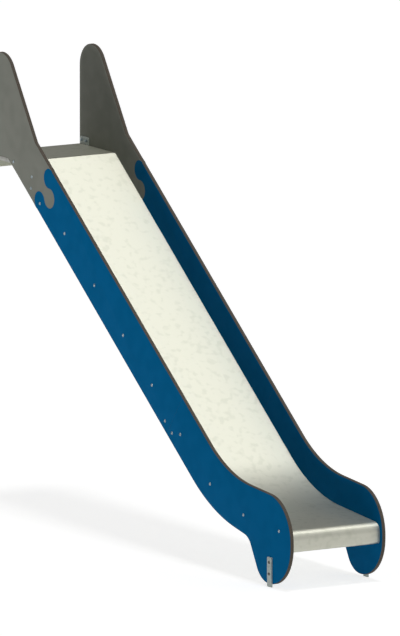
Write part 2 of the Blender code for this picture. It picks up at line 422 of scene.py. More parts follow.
def fine_grain() -> bpy.types.NodeTree:
    """Shader group for fine grain: a mask and a bumped normal.

    Returns:
        The group.
    """

    def fill(graph: Graph, given: bpy.types.Node, out: bpy.types.Node) -> None:
        """Noise in the stretched coordinates, read as a height too.

        Args:
            graph: The tree's graph.
            given: The tree's input node.
            out: The tree's output node.
        """
        place = graph.add("ShaderNodeVectorMath", {0: given.outputs["Vector"], 1: given.outputs["Scale"]},
                          operation="MULTIPLY")
        noise = graph.add("ShaderNodeTexNoise", {"Vector": place.outputs[0], "Scale": 1.0, "Detail": 3.0,
                                                 "Roughness": 0.6})
        bump = graph.add("ShaderNodeBump", {"Strength": 1.0, "Distance": given.outputs["Depth"],
                                            "Height": noise.outputs["Fac"]})
        graph.feed(out, {"Mask": noise.outputs["Fac"], "Normal": bump.outputs["Normal"]})

    return grouped(
        "ShaderNodeTree",
        "fine_grain",
        [("Vector", VECTOR, None), ("Scale", VECTOR, (100.0, 100.0, 100.0)), ("Depth", FLOAT, 0.0001)],
        [("Mask", FLOAT), ("Normal", VECTOR)],
        fill,
    )


def mottling() -> bpy.types.NodeTree:
    """Shader group for soft blotches between two colours.

    Returns:
        The group.
    """

    def fill(graph: Graph, given: bpy.types.Node, out: bpy.types.Node) -> None:
        """Even spots of one size, with broad clouds that make some of them stronger.

        Args:
            graph: The tree's graph.
            given: The tree's input node.
            out: The tree's output node.
        """
        size = given.outputs["Size"]
        spots = graph.add("ShaderNodeTexNoise", {"Vector": given.outputs["Vector"], "Scale": size, "Detail": 0.8,
                                                 "Roughness": 0.5})
        clouds = graph.add("ShaderNodeTexNoise", {"Vector": given.outputs["Vector"],
                                                  "Scale": graph.math("MULTIPLY", size, CLOUD_SCALE),
                                                  "Detail": 2.0})
        both = graph.math("ADD", graph.math("MULTIPLY", spots.outputs["Fac"], 1.0 - CLOUD_SHARE),
                          graph.math("MULTIPLY", clouds.outputs["Fac"], CLOUD_SHARE))
        mask = graph.fade(both, given.outputs["From"], given.outputs["To"])
        colour = graph.blend(mask, given.outputs["Colour"], given.outputs["Blotch"])
        graph.feed(out, {"Colour": colour, "Mask": mask})

    return grouped(
        "ShaderNodeTree",
        "mottling",
        [("Vector", VECTOR, None), ("Size", FLOAT, 40.0), ("From", FLOAT, 0.45), ("To", FLOAT, 0.65),
         ("Colour", COLOUR, (1, 1, 1, 1)), ("Blotch", COLOUR, (0.8, 0.8, 0.8, 1))],
        [("Colour", COLOUR), ("Mask", FLOAT)],
        fill,
    )


def plies() -> bpy.types.NodeTree:
    """Shader group for the pressed layers that show on a cut edge, stacked along X.

    Returns:
        The group.
    """

    def fill(graph: Graph, given: bpy.types.Node, out: bpy.types.Node) -> None:
        """Lines along X, broken up by noise along the edge.

        Args:
            graph: The tree's graph.
            given: The tree's input node.
            out: The tree's output node.
        """
        parts = graph.add("ShaderNodeSeparateXYZ", {0: given.outputs["Vector"]})
        noise = graph.add("ShaderNodeTexNoise", {"Vector": given.outputs["Vector"], "Scale": PLY_WOBBLE_SCALE,
                                                 "Detail": 3.0})
        wobble = graph.math("MULTIPLY", noise.outputs["Fac"], PLY_WOBBLE)
        layer = graph.math("DIVIDE", parts.outputs[0], given.outputs["Ply"])
        phase = graph.math("FRACT", graph.math("ADD", layer, wobble))
        line = graph.fade(graph.math("PINGPONG", phase, 0.5), *PLY_LINE)
        graph.feed(out, {"Colour": graph.blend(line, given.outputs["Dark"], given.outputs["Light"])})

    return grouped(
        "ShaderNodeTree",
        "plies",
        [("Vector", VECTOR, None), ("Ply", FLOAT, 0.0015), ("Dark", COLOUR, (0.04, 0.03, 0.02, 1)),
         ("Light", COLOUR, (0.09, 0.07, 0.05, 1))],
        [("Colour", COLOUR)],
        fill,
    )


# ---- finishes ----


def opaque(colour: Colour) -> tuple[float, float, float, float]:
    """Colour with full alpha."""
    return (*colour, 1.0)


def begin_material(name: str) -> tuple[bpy.types.Material, Graph, bpy.types.Node, bpy.types.NodeSocket]:
    """Start a material.

    Args:
        name: Name of the material.

    Returns:
        The material, its graph, its shader and the object coordinates.
    """
    material = bpy.data.materials.new(name)
    material.use_nodes = True
    graph = Graph(material.node_tree)
    shader = material.node_tree.nodes["Principled BSDF"]
    place = graph.add("ShaderNodeTexCoord").outputs["Object"]
    return material, graph, shader, place


@dataclass(frozen=True)
class Finish:
    """Finish of a piece."""

    name: str

    def material(self) -> bpy.types.Material:
        """Material of this finish, made once.

        Returns:
            The material.
        """
        known = bpy.data.materials.get(self.name)
        if known is not None:
            return known
        material, graph, shader, place = begin_material(self.name)
        self.dress(graph, shader, place)
        return material

    def dress(self, graph: Graph, shader: bpy.types.Node, place: bpy.types.NodeSocket) -> None:
        """Add this finish's nodes.

        Args:
            graph: The material's graph.
            shader: The material's shader.
            place: The object coordinates.
        """
        raise NotImplementedError


@dataclass(frozen=True)
class MetalFinish(Finish):
    """Brushed, mottled or plain metal."""

    colour: Colour
    blotch: Colour
    blotch_size: float
    blotch_range: tuple[float, float]
    roughness: tuple[float, float]
    grain_scale: tuple[float, float, float]
    grain_depth: float
    metallic: float = 1.0

    def dress(self, graph: Graph, shader: bpy.types.Node, place: bpy.types.NodeSocket) -> None:
        """Spots between two colours, with grain that also varies the roughness.

        Args:
            graph: The material's graph.
            shader: The material's shader.
            place: The object coordinates.
        """
        grain = graph.add("ShaderNodeGroup", {"Vector": place, "Scale": self.grain_scale, "Depth": self.grain_depth},
                          node_tree=fine_grain())
        spots = graph.add("ShaderNodeGroup", {
            "Vector": place, "Size": self.blotch_size, "From": self.blotch_range[0], "To": self.blotch_range[1],
            "Colour": opaque(self.colour), "Blotch": opaque(self.blotch)}, node_tree=mottling())
        rough = graph.add("ShaderNodeMapRange", {"Value": grain.outputs["Mask"], "From Min": 0.3, "From Max": 0.7,
                                                 "To Min": self.roughness[0], "To Max": self.roughness[1]})
        graph.feed(shader, {"Base Color": spots.outputs["Colour"], "Roughness": rough.outputs[0],
                            "Normal": grain.outputs["Normal"], "Metallic": self.metallic})


@dataclass(frozen=True)
class FaceFinish(Finish):
    """Matt decor face of a pressed laminate panel."""

    colour: Colour
    scuff: Colour
    roughness: tuple[float, float]
    gloss: float
    scuff_size: float = 14.0
    scuff_range: tuple[float, float] = (0.38, 0.68)
    grain_scale: tuple[float, float, float] = (1400.0, 1400.0, 1400.0)
    grain_depth: float = 0.00004

    def dress(self, graph: Graph, shader: bpy.types.Node, place: bpy.types.NodeSocket) -> None:
        """Broad scuffs that also vary the roughness, over a fine even grain.

        Args:
            graph: The material's graph.
            shader: The material's shader.
            place: The object coordinates.
        """
        grain = graph.add("ShaderNodeGroup", {"Vector": place, "Scale": self.grain_scale, "Depth": self.grain_depth},
                          node_tree=fine_grain())
        spots = graph.add("ShaderNodeGroup", {
            "Vector": place, "Size": self.scuff_size, "From": self.scuff_range[0], "To": self.scuff_range[1],
            "Colour": opaque(self.colour), "Blotch": opaque(self.scuff)}, node_tree=mottling())
        rough = graph.add("ShaderNodeMapRange", {"Value": spots.outputs["Mask"], "To Min": self.roughness[0],
                                                 "To Max": self.roughness[1]})
        graph.feed(shader, {"Base Color": spots.outputs["Colour"], "Roughness": rough.outputs[0],
                            "Normal": grain.outputs["Normal"], "Specular IOR Level": self.gloss})


@dataclass(frozen=True)
class CoreFinish(Finish):
    """Brown core of a pressed laminate panel, as it shows on a cut edge."""

    dark: Colour
    light: Colour
    ply: float
    roughness: float = 0.65
    gloss: float = 0.12
    grain_scale: tuple[float, float, float] = (600.0, 250.0, 250.0)
    grain_depth: float = 0.00008

    def dress(self, graph: Graph, shader: bpy.types.Node, place: bpy.types.NodeSocket) -> None:
        """Pressed layers with a coarse grain.

        Args:
            graph: The material's graph.
            shader: The material's shader.
            place: The object coordinates.
        """
        layers = graph.add("ShaderNodeGroup", {"Vector": place, "Ply": self.ply, "Dark": opaque(self.dark),
                                               "Light": opaque(self.light)}, node_tree=plies())
        grain = graph.add("ShaderNodeGroup", {"Vector": place, "Scale": self.grain_scale, "Depth": self.grain_depth},
                          node_tree=fine_grain())
        graph.feed(shader, {"Base Color": layers.outputs["Colour"], "Normal": grain.outputs["Normal"],
                            "Roughness": self.roughness, "Specular IOR Level": self.gloss})


CHUTE_STEEL = MetalFinish(
    name="chute_steel", colour=(0.74, 0.74, 0.635), blotch=(0.675, 0.68, 0.575), blotch_size=32.0,
    blotch_range=(0.50, 0.70), roughness=(0.43, 0.49), grain_scale=(420.0, 5.0, 5.0), grain_depth=0.00002)
PLATE_STEEL = MetalFinish(
    name="plate_steel", colour=(0.55, 0.55, 0.51), blotch=(0.46, 0.46, 0.43), blotch_size=40.0,
    blotch_range=(0.42, 0.62), roughness=(0.34, 0.46), grain_scale=(160.0, 160.0, 160.0), grain_depth=0.00008)
BAR_ZINC = MetalFinish(
    name="galvanised_bar", colour=(0.52, 0.57, 0.54), blotch=(0.43, 0.48, 0.45), blotch_size=90.0,
    blotch_range=(0.42, 0.60), roughness=(0.46, 0.60), grain_scale=(240.0, 240.0, 240.0), grain_depth=0.00008,
    metallic=0.35)
BOLT_STEEL = MetalFinish(
    name="bolt_steel", colour=(0.44, 0.51, 0.54), blotch=(0.37, 0.44, 0.47), blotch_size=300.0,
    blotch_range=(0.42, 0.60), roughness=(0.30, 0.42), grain_scale=(900.0, 900.0, 900.0), grain_depth=0.00002,
    metallic=0.8)
DARK_BOLT = MetalFinish(
    name="dark_bolt", colour=(0.17, 0.15, 0.13), blotch=(0.12, 0.10, 0.085), blotch_size=300.0,
    blotch_range=(0.42, 0.60), roughness=(0.36, 0.48), grain_scale=(900.0, 900.0, 900.0), grain_depth=0.00002,
    metallic=0.8)
WELD_STEEL = MetalFinish(
    name="weld_metal", colour=(0.50, 0.48, 0.44), blotch=(0.34, 0.31, 0.27), blotch_size=160.0,
    blotch_range=(0.42, 0.60), roughness=(0.30, 0.48), grain_scale=(500.0, 500.0, 500.0), grain_depth=0.00006)
BLUE_FACE = FaceFinish("blue_face", (0.0, 0.126, 0.310), (0.0, 0.118, 0.288), (0.54, 0.62), 0.012)
GREY_FACE = FaceFinish("grey_face", (0.243, 0.250, 0.218), (0.226, 0.233, 0.203), (0.54, 0.62), 0.04)
BROWN_CORE = CoreFinish("brown_core", (0.060, 0.048, 0.037), (0.150, 0.128, 0.104), 0.0016)


# ---- meshes ----


def link(obj: bpy.types.Object) -> bpy.types.Object:
    """Put an object in the scene."""
    bpy.context.scene.collection.objects.link(obj)
    return obj


def inset_step(before: Point, point: Point, after: Point, rim_in: float, rim_out: float) -> Point:
    """Move of an outline vertex when each of its two edges is inset by its own amount.

    Args:
        before: Vertex before it, on an anticlockwise outline.
        point: The vertex.
        after: Vertex after it.
        rim_in: Inset of the edge that comes in.
        rim_out: Inset of the edge that goes out.

    Returns:
        The move.
    """
    edge_in = Vector((point[0] - before[0], point[1] - before[1])).normalized()
    edge_out = Vector((after[0] - point[0], after[1] - point[1])).normalized()
    normal_in = Vector((-edge_in.y, edge_in.x))
    normal_out = Vector((-edge_out.y, edge_out.x))
    cross = normal_in.x * normal_out.y - normal_in.y * normal_out.x
    if abs(cross) < STRAIGHT:
        mean = (normal_in + normal_out).normalized() * (rim_in + rim_out) / 2
        return (mean.x, mean.y)
    x = (rim_in * normal_out.y - rim_out * normal_in.y) / cross
    y = (rim_out * normal_in.x - rim_in * normal_out.x) / cross
    return (x, y)


def board(
    name: str, outline: list[Point], thickness: float, across: float, rims: list[float] | float, turns: int = 4
) -> bpy.types.Object:
    """Flat piece with rounded rims, cut to a side-view outline.

    Args:
        name: Name of the piece.
        outline: The outline's points.
        thickness: Thickness across the slide.
        across: X of its middle.
        rims: Radius of the rim along each edge, or one radius. Edge i runs from point i to the next.
        turns: Facets in each rounded rim.

    Returns:
        The piece, with material slot 0 for its faces and slot 1 for its edges.
    """
    count = len(outline)
    radii = [rims] * count if isinstance(rims, float) else list(rims)
    area = sum(outline[i - 1][0] * outline[i][1] - outline[i][0] * outline[i - 1][1] for i in range(count))
    if area < 0:
        outline = outline[::-1]
        radii = [radii[count - 2 - i] for i in range(count)]
    moves = [
        inset_step(outline[i - 1], outline[i], outline[(i + 1) % count], radii[i - 1], radii[i])
        for i in range(count)
    ]
    deep = [max(radii[i - 1], radii[i]) for i in range(count)]
    rings: list[list[tuple[float, float, float]]] = []
    levels = [(k / turns * math.pi / 2, -1.0) for k in range(turns + 1)]
    levels += [(angle, 1.0) for angle, _ in levels[::-1]]
    for angle, side in levels:
        inset, sink = 1.0 - math.sin(angle), 1.0 - math.cos(angle)
        rings.append([
            (across + side * (thickness / 2 - deep[i] * sink), -outline[i][0] - moves[i][0] * inset,
             outline[i][1] + moves[i][1] * inset)
            for i in range(count)
        ])
    verts = [co for ring in rings for co in ring]
    faces = [tuple(range(count)), tuple((len(rings) - 1) * count + i for i in reversed(range(count)))]
    for r in range(len(rings) - 1):
        low, high = r * count, (r + 1) * count
        faces += [(low + i, high + i, high + (i + 1) % count, low + (i + 1) % count) for i in range(count)]
    mesh = bpy.data.meshes.new(name)
    mesh.from_pydata(verts, [], faces)
    bm = bmesh.new()
    bm.from_mesh(mesh)
    bm.faces.ensure_lookup_table()
    for i, face in enumerate(bm.faces):
        face.material_index = 0 if i < 2 else 1
        face.smooth = i >= 2
    bmesh.ops.remove_doubles(bm, verts=bm.verts, dist=MERGE)
    bmesh.ops.recalc_face_normals(bm, faces=bm.faces)
    bm.to_mesh(mesh)
    bm.free()
    mesh.set_sharp_from_angle(angle=RIM_SHARP)
    return link(bpy.data.objects.new(name, mesh))


def points_object(name: str, points: list[Vector], **attributes: list[float]) -> bpy.types.Object:
    """Loose points that a node tree puts pieces on.

    Args:
        name: Name of the object.
        points: The points.
        **attributes: A number for each point, by name.

    Returns:
        The object.
    """
    mesh = bpy.data.meshes.new(name)
    mesh.from_pydata([tuple(p) for p in points], [], [])
    for label, values in attributes.items():
        mesh.attributes.new(label, "FLOAT", "POINT").data.foreach_set("value", values)
    return link(bpy.data.objects.new(name, mesh))


def path_object(name: str, paths: list[list[Vector]]) -> bpy.types.Object:
    """Chains of edges that a node tree follows.

    Args:
        name: Name of the object.
        paths: The points of each chain.

    Returns:
        The object.
    """
    verts: list[tuple[float, float, float]] = []
    edges: list[tuple[int, int]] = []
    for path in paths:
        start = len(verts)
        verts += [tuple(p) for p in path]
        edges += [(start + i, start + i + 1) for i in range(len(path) - 1)]
    mesh = bpy.data.meshes.new(name)
    mesh.from_pydata(verts, edges, [])
    return link(bpy.data.objects.new(name, mesh))


def grow(obj: bpy.types.Object, tree: bpy.types.NodeTree, values: dict[str, Any]) -> bpy.types.Object:
    """Run a node tree on an object and keep the result as its plain mesh.

    Args:
        obj: The object.
        tree: The tree.
        values: The tree's inputs by name.

    Returns:
        The same object with its new mesh.
    """
    modifier = obj.modifiers.new(tree.name, "NODES")
    modifier.node_group = tree
    for item in tree.interface.items_tree:
        if item.item_type == "SOCKET" and item.in_out == "INPUT" and item.name in values:
            modifier[item.identifier] = values[item.name]
    depsgraph = bpy.context.evaluated_depsgraph_get()
    mesh = bpy.data.meshes.new_from_object(obj.evaluated_get(depsgraph))
    obj.modifiers.remove(modifier)
    obj.data = mesh
    mesh.name = obj.name
    return obj


def soften(obj: bpy.types.Object, sharp: float) -> None:
    """Shade a piece smooth, but for edges over the given angle."""
    obj.data.shade_smooth()
    obj.data.set_sharp_from_angle(angle=sharp)


def close_tree(graph: Graph, out: bpy.types.Node, shape: bpy.types.NodeSocket, material: bpy.types.NodeSocket) -> None:
    """End a geometry tree with Realize Instances and Set Material.

    Args:
        graph: The tree's graph.
        out: The tree's output node.
        shape: The finished shape.
        material: The material's socket.
    """
    real = graph.add("GeometryNodeRealizeInstances", {"Geometry": shape})
    done = graph.add("GeometryNodeSetMaterial", {"Geometry": real.outputs[0], "Material": material})
    graph.feed(out, {"Geometry": done.outputs[0]})


def shape_tree(name: str, sizes: Inputs, fill: Fill) -> bpy.types.NodeTree:
    """Make a geometry tree that takes a geometry, its own sizes and a material.

    Args:
        name: Name of the tree.
        sizes: Name, socket type and default of each size.
        fill: Adds the nodes between the tree's input and output nodes.

    Returns:
        The tree.
    """
    inputs = [("Geometry", GEOMETRY, None), *sizes, ("Material", MATERIAL, None)]
    return grouped("GeometryNodeTree", name, inputs, [("Geometry", GEOMETRY)], fill)


def cylinder(graph: Graph, sides: int, radius: Any, depth: Any) -> bpy.types.NodeSocket:
    """Upright prism or cylinder about the origin."""
    return graph.add("GeometryNodeMeshCylinder", {"Vertices": sides, "Radius": radius, "Depth": depth}).outputs[0]


def ellipsoid(graph: Graph, segments: int, rings: int, radius: Any, height: Any) -> bpy.types.NodeSocket:
    """Ball about the origin, scaled along Z.

    Args:
        graph: The tree's graph.
        segments: Facets round it.
        rings: Facets from top to bottom.
        radius: Its radius round Z.
        height: Half its height.

    Returns:
        The ball.
    """
    ball = graph.add("GeometryNodeMeshUVSphere", {"Segments": segments, "Rings": rings, "Radius": 1.0})
    scaled = graph.add("GeometryNodeTransform", {"Geometry": ball.outputs[0],
                                                 "Scale": graph.vector(radius, radius, height)})
    return scaled.outputs[0]


def raised(graph: Graph, shape: bpy.types.NodeSocket, up: Any) -> bpy.types.NodeSocket:
    """Shape moved up by a height."""
    moved = graph.add("GeometryNodeTransform", {"Geometry": shape, "Translation": graph.vector(0.0, 0.0, up)})
    return moved.outputs[0]


def standing(graph: Graph, sides: int, radius: Any, depth: Any) -> bpy.types.NodeSocket:
    """Upright prism or cylinder that stands on the origin."""
    return raised(graph, cylinder(graph, sides, radius, depth), graph.math("MULTIPLY", depth, 0.5))


def bent_sheet() -> bpy.types.NodeTree:
    """Geometry tree that sweeps a flat strip along a side-view path: a bent sheet.

    Returns:
        The tree.
    """

    def fill(graph: Graph, given: bpy.types.Node, out: bpy.types.Node) -> None:
        """Path to curve, strip section, sweep with closed ends.

        Args:
            graph: The tree's graph.
            given: The tree's input node.
            out: The tree's output node.
        """
        path = graph.add("GeometryNodeMeshToCurve", {"Mesh": given.outputs["Geometry"]})
        strip = graph.add("GeometryNodeCurvePrimitiveQuadrilateral", {"Width": given.outputs["Width"],
                                                                      "Height": given.outputs["Sheet"]})
        swept = graph.add("GeometryNodeCurveToMesh", {"Curve": path.outputs[0], "Profile Curve": strip.outputs[0],
                                                      "Fill Caps": True})
        close_tree(graph, out, swept.outputs[0], given.outputs["Material"])

    return shape_tree("bent_sheet", [("Width", FLOAT, 0.5), ("Sheet", FLOAT, 0.003)], fill)


def folded_ribs() -> bpy.types.NodeTree:
    """Geometry tree that puts a folded channel under the sheet at each point, turned to the slope there.

    Returns:
        The tree.
    """

    def fill(graph: Graph, given: bpy.types.Node, out: bpy.types.Node) -> None:
        """Channel from four points with rounded bends, set on each point.

        Args:
            graph: The tree's graph.
            given: The tree's input node.
            out: The tree's output node.
        """
        index = graph.add("GeometryNodeInputIndex").outputs[0]
        half_sheet = graph.math("MULTIPLY", given.outputs["Sheet"], 0.5)
        wide = graph.math("SUBTRACT", given.outputs["Width"], given.outputs["Sheet"])
        deep = graph.math("SUBTRACT", given.outputs["Depth"], half_sheet)
        column = graph.math("SUBTRACT", graph.math("FLOOR", graph.math("MULTIPLY", index, 0.5)), 0.5)
        outer = graph.math("FLOOR", graph.math("ABSOLUTE", graph.math("SUBTRACT", index, 1.5)))
        level = graph.math("MULTIPLY", graph.math("SUBTRACT", outer, 1.0), deep)
        place = graph.vector(0.0, graph.math("MULTIPLY", column, wide), level)
        line = graph.add("GeometryNodeMeshLine", {"Count": 4})
        bent = graph.add("GeometryNodeSetPosition", {"Geometry": line.outputs[0], "Position": place})
        curve = graph.add("GeometryNodeMeshToCurve", {"Mesh": bent.outputs[0]})
        soft = graph.add("GeometryNodeFilletCurve", {"Curve": curve.outputs[0], "Count": 6,
                                                     "Radius": given.outputs["Bend"]}, mode="POLY")
        strip = graph.add("GeometryNodeCurvePrimitiveQuadrilateral", {"Width": given.outputs["Length"],
                                                                      "Height": given.outputs["Sheet"]})
        channel = graph.add("GeometryNodeCurveToMesh", {"Curve": soft.outputs[0], "Profile Curve": strip.outputs[0],
                                                        "Fill Caps": True})
        slope = graph.add("GeometryNodeInputNamedAttribute", {"Name": "slope"}, data_type="FLOAT")
        placed = graph.add("GeometryNodeInstanceOnPoints", {
            "Points": given.outputs["Geometry"], "Instance": channel.outputs[0],
            "Rotation": graph.vector(slope.outputs["Attribute"])})
        close_tree(graph, out, placed.outputs[0], given.outputs["Material"])

    sizes = [("Width", FLOAT, 0.06), ("Depth", FLOAT, 0.025), ("Length", FLOAT, 0.49), ("Sheet", FLOAT, 0.003),
             ("Bend", FLOAT, 0.004)]
    return shape_tree("folded_ribs", sizes, fill)


def spun(graph: Graph, given: bpy.types.Node, points: bpy.types.NodeSocket,
         shape: bpy.types.NodeSocket) -> bpy.types.NodeSocket:
    """Put a shape that stands along Z on each point, lying along X, each turned at random on its axis.

    Args:
        graph: The tree's graph.
        given: The group's input node, with Turn and Seed.
        points: The points.
        shape: The shape.

    Returns:
        The placed shapes.
    """
    laid = graph.add("GeometryNodeTransform", {"Geometry": shape, "Rotation": (0.0, math.pi / 2, 0.0)})
    spin = graph.random(0.0, math.pi / 3, given.outputs["Seed"])
    placed = graph.add("GeometryNodeInstanceOnPoints", {
        "Points": points, "Instance": laid.outputs[0], "Rotation": graph.vector(spin, 0.0, given.outputs["Turn"])})
    return placed.outputs[0]


# Cube that cuts the lower half off a bolt's head.
BELOW_SIZE = 0.1
# Cutter for the head's socket, in head heights; half of it goes in.
SOCKET_DEPTH = 1.3
# Radius of the ball that rounds a nut's corners off, in nut radii.
CHAMFER = 1.06
# Smallest and largest drop of a weld bead, against its usual size.
DROP_SIZES = (0.85, 1.12)


def bolt_heads() -> bpy.types.NodeTree:
    """Geometry tree for domed bolt heads with a hexagon socket and a washer.

    Returns:
        The tree.
    """

    def fill(graph: Graph, given: bpy.types.Node, out: bpy.types.Node) -> None:
        """Half an ellipsoid less a socket, on a washer, at each point.

        Args:
            graph: The tree's graph.
            given: The tree's input node.
            out: The tree's output node.
        """
        radius, height, thick = (given.outputs[key] for key in ("Head Radius", "Head Height", "Washer Thickness"))
        dome = ellipsoid(graph, 24, 12, radius, height)
        below = graph.add("GeometryNodeMeshCube", {"Size": (BELOW_SIZE, BELOW_SIZE, BELOW_SIZE)}).outputs[0]
        hexagon = cylinder(graph, 6, given.outputs["Socket Radius"], graph.math("MULTIPLY", height, SOCKET_DEPTH))
        cuts = [raised(graph, below, -BELOW_SIZE / 2), raised(graph, hexagon, height)]
        head = graph.add("GeometryNodeMeshBoolean", {"Mesh 1": dome, "Mesh 2": cuts}, operation="DIFFERENCE",
                         solver="EXACT")
        washer = standing(graph, 32, given.outputs["Washer Radius"], thick)
        both = graph.add("GeometryNodeJoinGeometry", {"Geometry": [raised(graph, head.outputs[0], thick), washer]})
        placed = spun(graph, given, given.outputs["Geometry"], both.outputs[0])
        close_tree(graph, out, placed, given.outputs["Material"])

    sizes = [("Head Radius", FLOAT, 0.0072), ("Head Height", FLOAT, 0.0042), ("Socket Radius", FLOAT, 0.0028),
             ("Washer Radius", FLOAT, 0.008), ("Washer Thickness", FLOAT, 0.0010), ("Turn", FLOAT, 0.0),
             ("Seed", INT, 3)]
    return shape_tree("bolt_heads", sizes, fill)


def hex_nuts() -> bpy.types.NodeTree:
    """Geometry tree for hexagon nuts on washers, with the bolt's end standing out.

    Returns:
        The tree.
    """

    def fill(graph: Graph, given: bpy.types.Node, out: bpy.types.Node) -> None:
        """Hexagon cut by a flattened ball for its chamfers, with a stud and a washer.

        Args:
            graph: The tree's graph.
            given: The tree's input node.
            out: The tree's output node.
        """
        radius, height, thick = (given.outputs[key] for key in ("Nut Radius", "Nut Height", "Washer Thickness"))
        block = cylinder(graph, 6, radius, height)
        round_off = ellipsoid(graph, 32, 16, graph.math("MULTIPLY", radius, CHAMFER), height)
        nut = graph.add("GeometryNodeMeshBoolean", {"Mesh 2": [block, round_off]}, operation="INTERSECT",
                        solver="EXACT")
        middle = graph.math("ADD", thick, graph.math("MULTIPLY", height, 0.5))
        washer = standing(graph, 32, given.outputs["Washer Radius"], thick)
        stud = standing(graph, 24, given.outputs["Stud Radius"], given.outputs["Stud Length"])
        both = graph.add("GeometryNodeJoinGeometry", {
            "Geometry": [raised(graph, nut.outputs[0], middle), washer, stud]})
        placed = spun(graph, given, given.outputs["Geometry"], both.outputs[0])
        close_tree(graph, out, placed, given.outputs["Material"])

    sizes = [("Nut Radius", FLOAT, 0.0075), ("Nut Height", FLOAT, 0.0065), ("Stud Radius", FLOAT, 0.004),
             ("Stud Length", FLOAT, 0.011), ("Washer Radius", FLOAT, 0.0075), ("Washer Thickness", FLOAT, 0.0014),
             ("Turn", FLOAT, 0.0), ("Seed", INT, 5)]
    return shape_tree("hex_nuts", sizes, fill)


def weld_beads() -> bpy.types.NodeTree:
    """Geometry tree for weld beads: overlapping drops along each path.

    Returns:
        The tree.
    """

    def fill(graph: Graph, given: bpy.types.Node, out: bpy.types.Node) -> None:
        """Points along the paths, a drop on each, sized a little at random.

        Args:
            graph: The tree's graph.
            given: The tree's input node.
            out: The tree's output node.
        """
        path = graph.add("GeometryNodeMeshToCurve", {"Mesh": given.outputs["Geometry"]})
        steps = graph.add("GeometryNodeResampleCurve", {"Curve": path.outputs[0], "Length": given.outputs["Pitch"]},
                          mode="LENGTH")
        drop = graph.add("GeometryNodeMeshUVSphere", {"Radius": given.outputs["Bead Radius"], "Segments": 8,
                                                      "Rings": 5})
        size = graph.random(*DROP_SIZES, given.outputs["Seed"])
        placed = graph.add("GeometryNodeInstanceOnPoints", {"Points": steps.outputs[0], "Instance": drop.outputs[0],
                                                            "Scale": size})
        real = graph.add("GeometryNodeRealizeInstances", {"Geometry": placed.outputs[0]})
        shaded = graph.add("GeometryNodeSetShadeSmooth", {"Geometry": real.outputs[0]})
        close_tree(graph, out, shaded.outputs[0], given.outputs["Material"])

    sizes = [("Bead Radius", FLOAT, 0.0022), ("Pitch", FLOAT, 0.0024), ("Seed", INT, 7)]
    return shape_tree("weld_beads", sizes, fill)


def place(point: Point, across: float) -> Vector:
    """Side-view point at a distance across the slide, as a point in the frame."""
    return Vector((across, -point[0], point[1]))


def settle(obj: bpy.types.Object, slot: Slot, *nodes: str) -> None:
    """Put a finished piece on the frame and report it.

    Args:
        obj: The piece.
        slot: The record's slot for the piece; not used.
        *nodes: CAD nodes that it stands for.
    """
    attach(obj, ROOT)
    if nodes:
        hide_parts(*nodes)
    log.info("%s: %d faces, for %s", obj.name, len(obj.data.polygons), ", ".join(nodes) or "detail")


def coat(obj: bpy.types.Object, *finishes: Finish) -> None:
    """Give a piece its finishes, one for each material slot."""
    for finish in finishes:
        obj.data.materials.append(finish.material())


# ---- the slide's sub-assemblies ----


